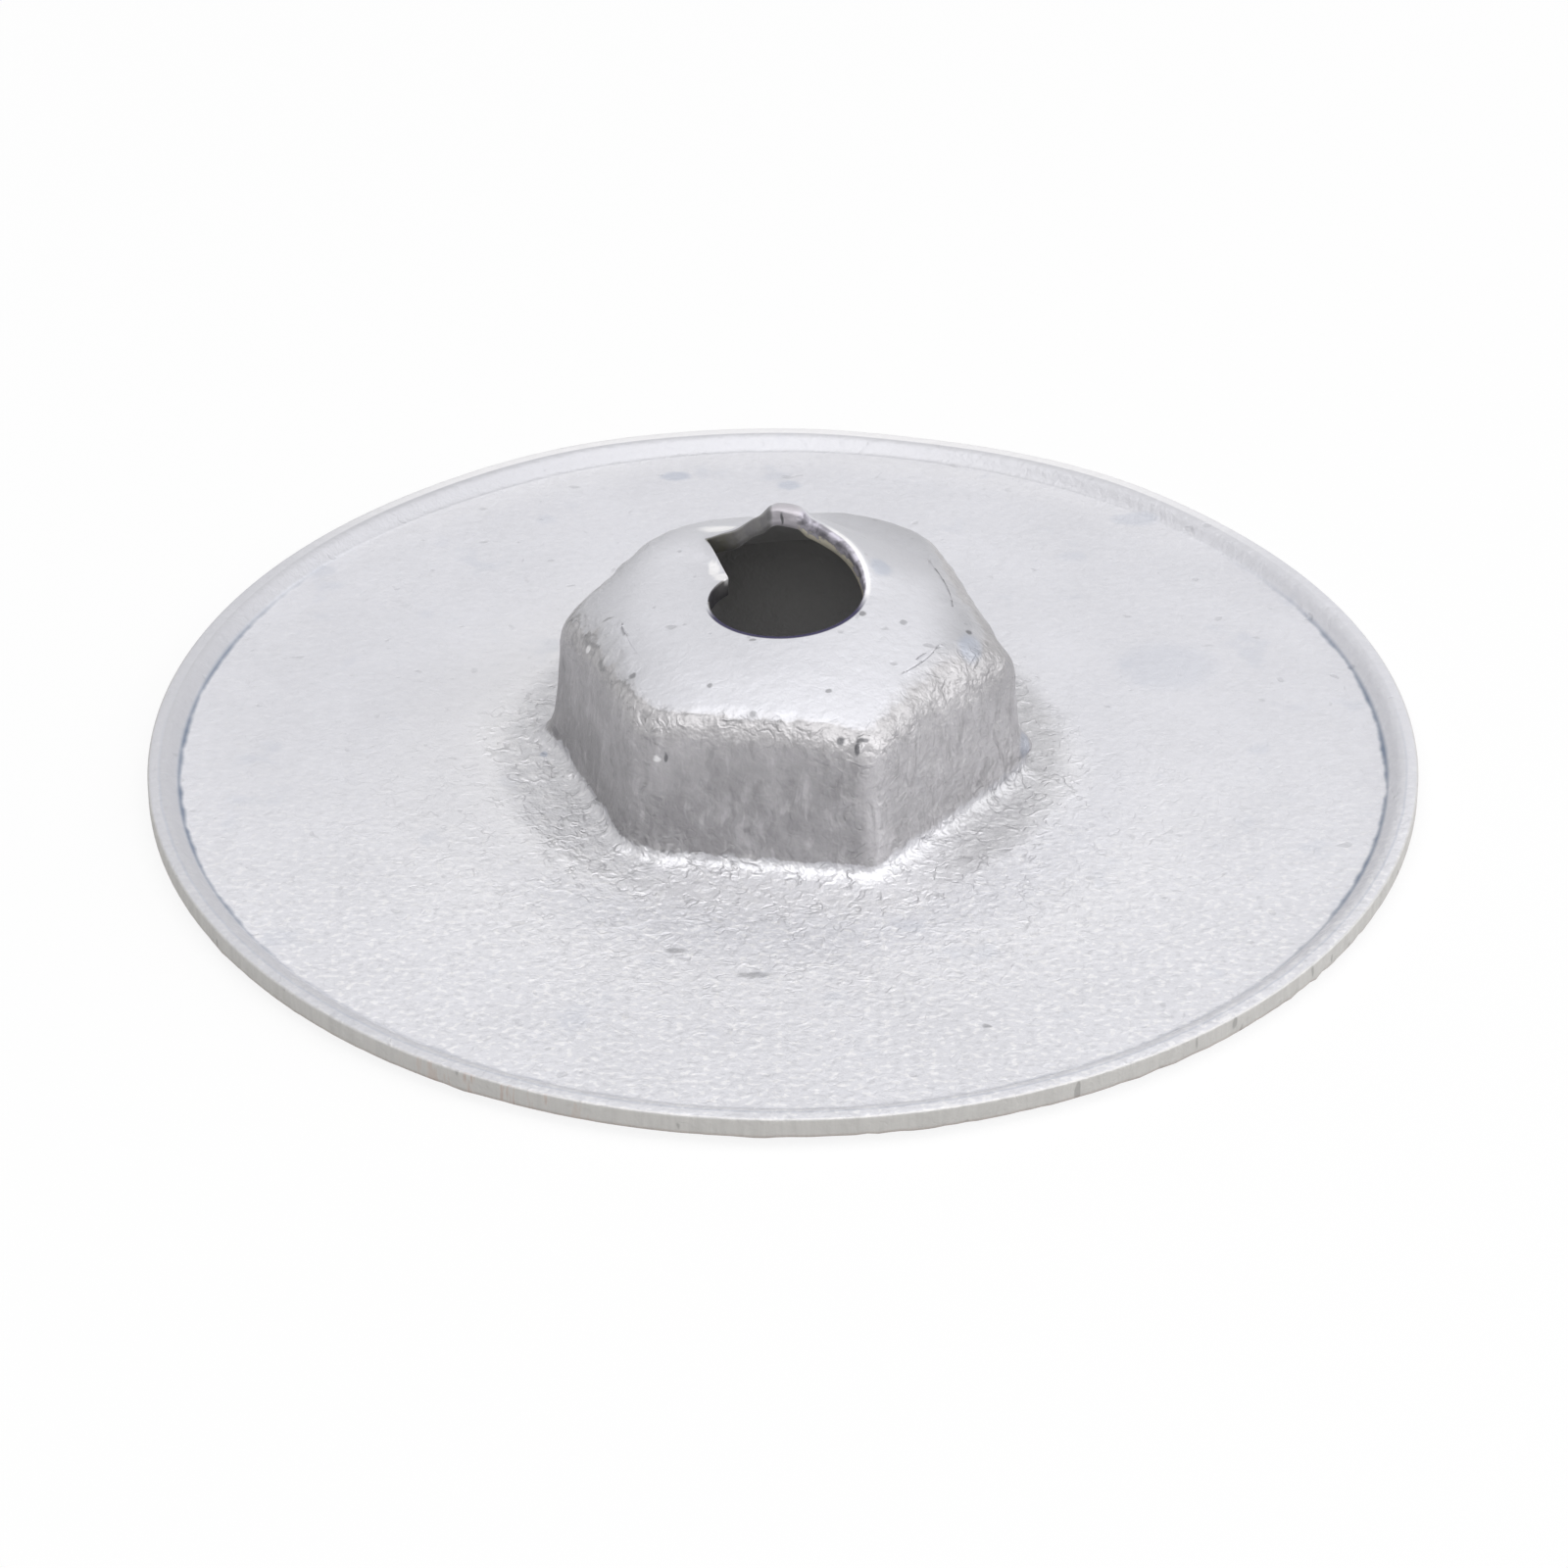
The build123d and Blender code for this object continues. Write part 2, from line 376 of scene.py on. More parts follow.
def sheet_stations(form):
    """The stations along one section of the sheet, once round from the hole's wall and back."""
    rim = form.flange_radius
    lift = form.rim_lift
    sheet = form.sheet
    stations = [("hole_wall", s, 0.0) for s in (0.0, 0.33, 0.66)]
    stations += [("hole_edge", i / 5.0, 0.0) for i in range(5)]
    stations += [("lip", (i / 30.0) ** 1.1, 0.0) for i in range(31)]
    stations += [("crown", s, 0.0) for s in (0.25, 0.5, 0.75)]
    stations += [("shoulder", i / 15.0, 0.0) for i in range(15)]
    stations += [("wall", i / 31.0, 0.0) for i in range(31)]
    stations += [("foot", i / 14.0, 0.0) for i in range(14)]
    stations += [("flange", (i / 17.0) ** 1.2, 0.0) for i in range(18)]
    flat = [9.45, 9.9, 10.4, 10.9, 11.4, 11.9, 12.4, 12.85, 13.25, 13.55, 13.8]
    top = [(r, sheet) for r in flat]
    top += [(rim - 1.0, sheet), (rim - 0.88, sheet), (rim - 0.8, sheet), (rim - 0.745, sheet + 0.006)]
    top += [(rim - 0.7, sheet + 0.025), (rim - 0.64, sheet + 0.07), (rim - 0.56, sheet + lift * 0.5)]
    top += [(rim - 0.48, sheet + lift * 0.78), (rim - 0.4, sheet + lift * 0.94)]
    top += [(rim - 0.32, sheet + lift * 0.995)]
    top += [(rim - 0.24, sheet + lift), (rim - 0.14, sheet + lift), (rim - 0.06, sheet + lift - 0.002)]
    top += [(rim - 0.028, sheet + lift - 0.01), (rim - 0.008, sheet + lift - 0.028)]
    side = [(rim, sheet + lift - 0.06), (rim, sheet + lift - 0.17), (rim, lift + 0.2), (rim, lift + 0.1)]
    side += [(rim - 0.006, lift + 0.045), (rim - 0.025, lift + 0.008)]
    under = [(rim - 0.06, lift), (rim - 0.3, lift), (rim - 0.4, lift * 0.95), (rim - 0.52, lift * 0.6)]
    under += [(rim - 0.64, lift * 0.27), (rim - 0.76, lift * 0.06), (rim - 0.88, 0.0)]
    under += [(r, 0.0) for r in (13.6, 12.9, 12.0, 11.0, 10.0)]
    stations += [("ring", point, 0.0) for point in top]
    stations += [("ring", point, sheet / 2) for point in side]
    stations += [("ring", point, sheet) for point in under]
    stations += [("flange", 1.0 - i / 4.0, sheet) for i in range(4)]
    stations += [("foot", 1.0 - i / 6.0, sheet) for i in range(6)]
    stations += [("wall", 1.0 - i / 5.0, sheet) for i in range(5)]
    stations += [("shoulder", 1.0 - i / 5.0, sheet) for i in range(5)]
    stations += [("crown", 1.0 - i / 2.0, sheet) for i in range(2)]
    stations += [("lip", 1.0 - i / 12.0, sheet) for i in range(13)]
    return stations


def station_place(form, station, angle):
    """Radius and level of one station at angles round the axis."""
    part, share, inset = station
    if part == "ring":
        return np.full(angle.shape, share[0]), np.full(angle.shape, share[1])
    if part == "hole_wall":
        return form.hole_wall(share, angle)
    if part == "hole_edge":
        return form.hole_edge(share, angle)
    return form.surface(part, share, angle, inset)


MARKS = ("wall", "shoulder", "foot", "cut", "through", "inner")


def station_marks(station, sheet, lift):
    """How far one station lies on each kind of surface, in the order of MARKS."""
    part, share, inset = station
    if inset == sheet:
        return 0.0, 0.0, 0.0, 0.0, 0.0, 1.0
    if part == "shoulder":
        return min(1.0, 1.25 * share), float(bump(share, 0.5, 0.35)), 0.0, 0.0, 0.0, 0.0
    if part == "wall":
        return 1.0, float(bump(share, -0.1, 0.12)), float(bump(share, 1.1, 0.1)), 0.0, 0.0, 0.0
    if part == "foot":
        return max(0.0, 0.85 - 1.8 * share), 0.0, float(smooth(share / 0.3)), 0.0, 0.0, 0.0
    if part == "flange":
        return 0.0, 0.0, float(bump(share, 0.0, 0.26)), 0.0, 0.0, 0.0
    if part == "hole_wall":
        return 0.0, 0.0, 0.0, 1.0, 0.65 * share, 0.0
    if part == "hole_edge":
        return 0.0, 0.0, 0.0, float(1.0 - smooth((share - 0.75) / 0.25)), 0.65 + 0.35 * share, 0.0
    if part == "lip":
        return 0.0, 0.0, 0.0, 0.0, 1.0 + share, 0.0
    if part == "ring" and inset > 0.0:
        return 0.0, 0.0, 0.0, 1.0, (share[1] - lift) / sheet, 0.0
    return 0.0, 0.0, 0.0, 0.0, 1.0, 0.0


def crowd_notch(angle):
    """Draws the steps round the nut closer together at the notch."""
    fine = np.arange(0.0, 360.0, 0.25)
    density = 1.0 + 1.6 * bump(away(fine, 119.0), 0.0, 22.0)
    passed = np.concatenate(([0.0], np.cumsum(density)))
    passed *= 360.0 / passed[-1]
    return np.interp(angle % 360.0, passed, np.concatenate((fine, [360.0])))


# Modelling steps


def deselect_all():
    if bpy.context.object and bpy.context.object.mode != "OBJECT":
        bpy.ops.object.mode_set(mode="OBJECT")
    bpy.ops.object.select_all(action="DESELECT")


def spin_section(name, outline, steps):
    """Draws a closed outline as (radius, level) points and spins it once round the axis."""
    deselect_all()
    bpy.ops.mesh.primitive_circle_add(vertices=len(outline), radius=MM, location=(0.0, 0.0, 0.0))
    piece = bpy.context.object
    piece.name = piece.data.name = name
    for vertex, (radius, level) in zip(piece.data.vertices, outline):
        vertex.co = (radius * MM, 0.0, level * MM)
    bpy.ops.object.mode_set(mode="EDIT")
    bpy.ops.mesh.select_all(action="SELECT")
    bpy.ops.mesh.spin(steps=steps, angle=2.0 * math.pi, center=(0.0, 0.0, 0.0), axis=(0.0, 0.0, 1.0))
    bpy.ops.mesh.select_all(action="SELECT")
    bpy.ops.mesh.remove_doubles(threshold=0.002 * MM)
    bpy.ops.mesh.normals_make_consistent(inside=False)
    bpy.ops.object.mode_set(mode="OBJECT")
    return piece


def read_points(piece):
    points = np.empty(len(piece.data.vertices) * 3, np.float32)
    piece.data.vertices.foreach_get("co", points)
    return points.reshape(-1, 3).astype(float) / MM


def write_points(piece, points):
    piece.data.vertices.foreach_set("co", (points * MM).astype(np.float32).ravel())
    piece.data.update()


def press_to_form(piece, form, stations, outline):
    """Presses the spun blank to the hexagon, the crown and the helical lip."""
    points = read_points(piece)
    radius = np.hypot(points[:, 0], points[:, 1])
    outline = np.array(outline)
    nearest = np.empty(len(points), int)
    for start in range(0, len(points), 4000):
        part = slice(start, start + 4000)
        gap = np.abs(radius[part, None] - outline[None, :, 0])
        gap += np.abs(points[part, 2][:, None] - outline[None, :, 1])
        nearest[part] = gap.argmin(axis=1)
    angle = crowd_notch(np.degrees(np.arctan2(points[:, 1], points[:, 0])) % 360.0)
    for index, station in enumerate(stations):
        at = nearest == index
        reach, level = station_place(form, station, angle[at])
        points[at, 0] = reach * np.cos(np.radians(angle[at]))
        points[at, 1] = reach * np.sin(np.radians(angle[at]))
        points[at, 2] = level
    write_points(piece, points)
    marks = np.array([station_marks(station, form.sheet, form.rim_lift) for station in stations])[nearest]
    for name, values in zip(MARKS, marks.T):
        attribute = piece.data.attributes.new(name, "FLOAT", "POINT")
        attribute.data.foreach_set("value", values.astype(np.float32))
    return marks


def wear_and_warp(piece, form, marks):
    """Small departures from the true form, as the press and handling left them."""
    points = read_points(piece)
    normals = np.empty(len(points) * 3, np.float32)
    piece.data.vertex_normals.foreach_get("vector", normals)
    normals = normals.reshape(-1, 3).astype(float)
    wall, shoulder, foot, cut, through, inner = marks.T
    top = (1.0 - inner) * (1.0 - cut)
    x, y, z = points.T.copy()
    radius = np.hypot(x, y)
    angle = np.degrees(np.arctan2(y, x))

    # Crown left full towards the back right, with the lip's crest lower past its raised end
    for direction, spread, height in ((46.0, 24.0, 0.24), (136.0, 22.0, 0.3), (74.0, 19.0, 0.24)):
        points[:, 2] += height * bump(away(angle, direction), 0.0, spread) * bump(radius, 4.3, 0.85)
    points[:, 2] += 0.12 * bump(angle, 121.0, 6.0) * bump(radius, 3.0, 0.4)
    past_end = smooth((81.0 - angle) / 8.0) * smooth((angle - 30.0) / 40.0)
    points[:, 2] -= 0.15 * past_end * smooth((2.9 - radius) / 0.8)
    nub = np.sqrt(bump(angle, 88.0, 9.5)) * bump(radius, 1.95, 0.32)
    points[:, 2] += 0.012 * nub
    points[:, 2] -= 0.16 * bump(angle, 105.5, 5.0) * smooth((3.1 - radius) / 0.5)
    points[:, 0] += 0.17 * nub * normals[:, 0]
    points[:, 1] += 0.17 * nub * normals[:, 1]

    # Foot flared out at the left and right corners
    for direction, reach, level in ((173.0, 0.24, 0.6), (-5.0, 0.3, 1.1)):
        flare = reach * bump(away(angle, direction), 0.0, 4.5) * bump(z, level, 0.35)
        flare *= (wall + foot).clip(0.0, 1.0)
        points[:, 0] += flare * x / radius
        points[:, 1] += flare * y / radius

    # Ripples that the press left in the skin
    ripple = np.empty(len(points))
    coarse = np.empty(len(points))
    for i, (px, py, pz) in enumerate(points):
        ripple[i] = noise.noise((px * 2.6, py * 2.6, pz * 1.8))
        coarse[i] = noise.noise((px * 0.9 + 7.0, py * 0.9, pz * 0.7))
    front = smooth((4.0 - y) / 10.0)
    depth = 0.003 + 0.006 * front + 0.012 * wall + 0.035 * shoulder + 0.03 * foot
    push = ripple * depth + coarse * (0.02 * wall + 0.03 * shoulder)
    push *= top * (radius > 2.4) * (radius < 14.0)
    points += normals * push[:, None]

    # Hub a little off centre, and the rim not quite flat
    points[:, 0] += 0.085 * smooth((8.0 - radius) / 2.0)
    rim = smooth((radius - 13.9) / 0.8) * smooth((z - 0.05) / 0.15)
    for direction, spread, height in ((55.0, 9.0, 0.05), (112.0, 11.0, 0.06), (77.0, 8.0, -0.05)):
        points[:, 2] += rim * height * bump(away(angle, direction), 0.0, spread)

    # Burrs on the cut edge's corners, most at the front right
    on_edge = cut * (radius > 14.0)
    jagged = np.array([noise.noise((a * 0.8, 3.0, 0.0)) for a in angle])
    jagged *= 0.35 + bump(away(angle, -45.0), 0.0, 30.0)
    points[:, 2] -= 0.05 * on_edge * bump(through, 0.0, 0.35) * jagged
    fine_burr = np.array([noise.noise((a * 1.3, 9.0, 0.0)) for a in angle])
    points[:, 2] -= 0.02 * on_edge * bump(through, 1.0, 0.3) * np.abs(fine_burr)
    for direction in (-148.0, -118.0, -92.0, -78.0):
        points[:, 2] -= 0.035 * on_edge * bump(through, 0.0, 0.3) * bump(away(angle, direction), 0.0, 1.0)
    points[:, 2] = np.maximum(points[:, 2], 0.0)
    write_points(piece, points)


# Finishes


class Level:
    """A number in a material. The usual signs add the nodes that work it out."""

    def __init__(self, finish, socket):
        self.finish = finish
        self.socket = socket

    def work(self, operation, *values):
        return self.finish.node("ShaderNodeMath", {"operation": operation}, dict(enumerate(values)))

    def __add__(self, other):
        return self.work("ADD", self, other)

    def __sub__(self, other):
        return self.work("SUBTRACT", self, other)

    def __mul__(self, other):
        return self.work("MULTIPLY", self, other)

    def __truediv__(self, other):
        return self.work("DIVIDE", self, other)

    def __radd__(self, other):
        return self.work("ADD", other, self)

    def __rsub__(self, other):
        return self.work("SUBTRACT", other, self)

    def __rmul__(self, other):
        return self.work("MULTIPLY", other, self)

    def __pow__(self, other):
        return self.work("POWER", self, other)

    def __abs__(self):
        return self.work("ABSOLUTE", self)

    def __neg__(self):
        return self.work("MULTIPLY", self, -1.0)

    def clamp(self):
        return self.finish.node("ShaderNodeClamp", {}, {"Value": self})


class Finish:
    """One material or world and the nodes that make it."""

    def __init__(self, owner):
        self.owner = owner
        owner.use_nodes = True
        self.tree = owner.node_tree
        self.tree.nodes.clear()

    def node(self, kind, settings=None, inputs=None, output=0):
        made = self.tree.nodes.new(kind)
        for key, value in (settings or {}).items():
            setattr(made, key, value)
        for key, value in (inputs or {}).items():
            if isinstance(value, Level):
                self.tree.links.new(value.socket, made.inputs[key])
            else:
                made.inputs[key].default_value = value
        return Level(self, made.outputs[output]) if len(made.outputs) else None

    def place(self):
        """The point on the nut, in millimetres."""
        here = self.node("ShaderNodeTexCoord", output="Object")
        return self.node("ShaderNodeVectorMath", {"operation": "SCALE"}, {0: here, "Scale": 1.0 / MM})

    def axes(self, place):
        """The three coordinates of a point."""
        parts = self.tree.nodes.new("ShaderNodeSeparateXYZ")
        self.tree.links.new(place.socket, parts.inputs[0])
        return (Level(self, output) for output in parts.outputs)

    def mark(self, name):
        """One of the marks that the mesh carries."""
        return self.node("ShaderNodeAttribute", {"attribute_name": name}, output="Fac")

    def stretch(self, place, scales):
        """A point with each coordinate scaled by itself."""
        return self.node("ShaderNodeVectorMath", {"operation": "MULTIPLY"}, {0: place, 1: scales})

    def warp(self, place, scale, reach):
        """A point pushed about by noise, so that patterns on it curl."""
        push = self.noise(place, scale, 1.0, output="Color")
        push = self.node("ShaderNodeVectorMath", {"operation": "SUBTRACT"}, {0: push, 1: (0.5, 0.5, 0.5)})
        push = self.node("ShaderNodeVectorMath", {"operation": "SCALE"}, {0: push, "Scale": reach})
        return self.node("ShaderNodeVectorMath", {"operation": "ADD"}, {0: place, 1: push})

    def step(self, value, low, high):
        """0 below low, 1 above high and smooth between."""
        return self.node(
            "ShaderNodeMapRange",
            {"interpolation_type": "SMOOTHSTEP"},
            {"Value": value, "From Min": low, "From Max": high, "To Min": 0.0, "To Max": 1.0},
        )

    def hill(self, value, middle, width):
        """1 at the middle, falling to 0 a width away on either side."""
        return self.step(abs(value - middle), width, 0.0)

    def noise(self, place, scale, detail=2.0, rough=0.5, output="Fac"):
        inputs = {"Vector": place, "Scale": scale, "Detail": detail, "Roughness": rough}
        return self.node("ShaderNodeTexNoise", {"noise_dimensions": "3D"}, inputs, output)

    def blend(self, factor, first, second):
        """A colour between two others."""
        inputs = {0: factor, 6: as_colour(first), 7: as_colour(second)}
        return self.node("ShaderNodeMix", {"data_type": "RGBA"}, inputs, 2)


def as_colour(value):
    return value if isinstance(value, Level) else (*tuple(value)[:3], 1.0)


# Marks that handling and the press left. Each has the pixel of the photograph where it lies, then its
# reach along X, Y and Z in millimetres, its strength and its finish.
# Some of these are painted light: painted highlights on the beak, beside the notch and on two pits, and
# painted shade on a pit, on the nub and, in part, on the right shoulder's stain.
MARKS_AND_PAINTED_LIGHT = {
    "front corner blot": ((858, 756), (0.12, 0.40, 0.11), 1.0, "grit_and_shade"),
    "forked scratch, leg": ((875, 764), (0.07, 0.40, 0.22), 1.0, "grit_and_shade"),
    "forked scratch, arm": ((881, 755), (0.20, 0.40, 0.06), 0.9, "grit_and_shade"),
    # A pit in painted light: a painted highlight on one side and painted shade on the other; the pit at the
    # left keeps only its painted highlight.
    "front pit, painted highlight": ((670, 774), (0.12, 0.35, 0.11), 1.0, "burnish_and_highlight"),
    "front pit, painted shade": ((679, 773), (0.07, 0.35, 0.16), 0.9, "grit_and_shade"),
    "pit at the left, painted highlight": ((600, 662), (0.13, 0.13, 0.13), 1.0, "burnish_and_highlight"),
    "left scratch": ((620, 632), (0.30, 0.07, 0.12), 0.5, "grit_and_shade"),
    # A stain on the right shoulder, darkened partly as painted shade of its steep slope.
    "right shoulder, blue stain and painted shade": ((990, 661), (0.40, 0.62, 0.40), 0.35, "stain"),
    "right shoulder, dark stain and painted shade": ((999, 674), (0.09, 0.20, 0.20), 0.14, "grit_and_shade"),
    "right shoulder, dot": ((989, 645), (0.11, 0.11, 0.11), 0.9, "grit_and_shade"),
    "left corner dot": ((645, 690), (0.12, 0.10, 0.40), 0.7, "grit_and_shade"),
    "crown dot, front left": ((725, 700), (0.09, 0.09, 0.40), 0.6, "grit_and_shade"),
    "crown dot, by the hole": ((767, 653), (0.10, 0.08, 0.40), 0.6, "grit_and_shade"),
    "crown dot, front": ((768, 728), (0.10, 0.09, 0.40), 0.6, "grit_and_shade"),
    "crown dot, front right": ((846, 705), (0.09, 0.09, 0.40), 0.6, "grit_and_shade"),
    "crown dot, right of hole": ((880, 626), (0.11, 0.11, 0.09), 0.7, "grit_and_shade"),
    "crown dot, far right": ((922, 635), (0.11, 0.11, 0.09), 0.5, "grit_and_shade"),
    "crown stain": ((899, 579), (0.36, 0.40, 0.36), 0.3, "stain"),
    "left flare, dark": ((567, 747), (0.20, 0.25, 0.16), 0.6, "grit_and_shade"),
    "left flare, blue": ((555, 770), (0.12, 0.16, 0.12), 0.5, "stain"),
    "right flare, blue": ((1046, 760), (0.21, 0.43, 0.43), 0.34, "stain"),
    "flange scuff, left": ((690, 970), (0.32, 0.15, 0.10), 0.5, "grit_and_shade"),
    "flange scuff, middle": ((770, 995), (0.55, 0.15, 0.10), 0.45, "grit_and_shade"),
    "flange scuff, right": ((1007, 1047), (0.15, 0.10, 0.10), 0.5, "grit_and_shade"),
    "back stain, left": ((690, 486), (0.50, 0.30, 0.20), 0.35, "stain"),
    "back stain, middle": ((805, 495), (0.40, 0.30, 0.20), 0.3, "stain"),
    "back stain, right": ((1159, 530), (0.80, 0.40, 0.20), 0.2, "stain"),
    "right stain": ((1190, 680), (1.60, 1.40, 0.30), 0.12, "stain"),
    # Painted highlights on the beak's rounded tip and side, and on the lip's top beside the notch's far side.
    "beak tip, painted highlight": ((736, 589), (0.27, 0.26, 0.25), 1.0, "burnish_and_highlight"),
    "beak side, painted highlight": ((728, 581), (0.17, 0.40, 0.22), 0.9, "burnish_and_highlight"),
    "notch far side, painted highlight": ((740, 540), (0.76, 0.37, 0.38), 1.0, "burnish_and_highlight"),
    # Painted shade on the nub's curled end and along its left edge.
    "nub, curled end in painted shade": ((803, 516), (0.46, 0.50, 0.30), 0.7, "nub"),
    "nub, dark crack": ((798, 529), (0.05, 0.30, 0.20), 0.9, "grit_and_shade"),
    "nub, left edge in painted shade": ((785, 524), (0.09, 0.40, 0.25), 0.5, "grit_and_shade"),
    "nub, dark foot": ((816, 534), (0.14, 0.20, 0.07), 0.4, "grit_and_shade"),
}


def camera_stand(distance, elevation):
    """Where a camera stands that faces the nut, and the direction back to it."""
    back = Vector((0.0, -math.cos(elevation), math.sin(elevation)))
    return Vector((0.0, 0.0, PHOTO_AIM_LEVEL * MM)) + back * distance, back


def shown_place(nut, pixel):
    """The point of the nut that a pixel of the photograph shows, in millimetres, or None off the nut."""
    stand, back = camera_stand(PHOTO_DISTANCE * MM, math.radians(PHOTO_ELEVATION))
    across = pixel[0] / PICTURE_PIXELS - 0.5 + PHOTO_SHIFT_X
    up = 0.5 - pixel[1] / PICTURE_PIXELS + PHOTO_SHIFT_Y
    ahead = -PHOTO_LENS / SENSOR_WIDTH
    ray = (-back).to_track_quat("-Z", "Y") @ Vector((across, up, ahead))
    met, place, _, _ = nut.ray_cast(stand, ray.normalized())
    return tuple(place / MM) if met else None


def place_scars(nut):
    """The marks with their places on the nut in millimetres."""
    bpy.context.view_layer.update()
    placed = [(shown_place(nut, pixel), *rest) for pixel, *rest in MARKS_AND_PAINTED_LIGHT.values()]
    return [scar for scar in placed if scar[0]]


class Spot:
    """Where on the nut a point lies, with the marks that the mesh carries there."""

    def __init__(self, f):
        self.place = f.place()
        self.x, self.y, self.z = f.axes(self.place)
        self.radius = (self.x * self.x + self.y * self.y) ** 0.5
        self.right, self.ahead = self.x / self.radius, self.y / self.radius
        self.angle = self.y.work("ARCTAN2", self.y, self.x) * math.degrees(1.0)
        for name in MARKS:
            setattr(self, name, f.mark(name))
        self.flange = f.step(self.radius, 6.2, 7.0)
        self.bent = f.warp(self.place, 1.3, 0.45)
        self.front = f.step(self.y, 4.0, -7.0) * f.step(self.radius, 4.5, 5.5)
        self.front = self.front * (0.25 + 0.75 * f.step(self.radius, 12.5, 7.0))
        self.rough = (0.12 + 0.5 * self.front + 0.6 * self.shoulder + 0.8 * self.foot).clamp()
        self.grain = f.noise(self.place, 4.6, 2.0, 0.6)


def shades(colour, factor):
    """A colour made lighter or darker."""
    return [channel * factor for channel in colour]


def curl_pattern(f, at):
    """Soft curling ridges and furrows, in patches."""
    ridges = f.hill(f.noise(at.bent, 2.6, 1.0), 0.52, 0.1) * f.step(f.noise(at.place, 1.7, 1.0), 0.44, 0.58)
    furrows = f.hill(f.noise(at.bent, 3.0, 1.0), 0.43, 0.08) * f.step(f.noise(at.place, 2.1, 1.0), 0.44, 0.6)
    return ridges, furrows


def relief(f, at, ridges, furrows, pits):
    """Height of the skin: grain, curls, drag marks down the hub and pits."""
    drag = f.noise(f.stretch(at.bent, (3.6, 3.6, 1.3)), 1.0, 1.0)
    drag = f.step(drag, 0.5, 0.66) - f.step(drag, 0.5, 0.34)
    patchy = f.step(f.noise(at.place, 0.9, 1.0), 0.4, 0.6)
    low_right = f.step(at.right, -0.5, 0.3) * f.step(at.z, 3.9, 2.6)
    height = (at.grain - 0.5) * (0.7 + 1.6 * at.rough + 1.0 * at.wall) + (ridges - furrows) * at.rough * 0.8
    return height + drag * at.wall * (0.25 + 0.75 * patchy) * (0.35 + 0.8 * low_right) - pits * 0.4


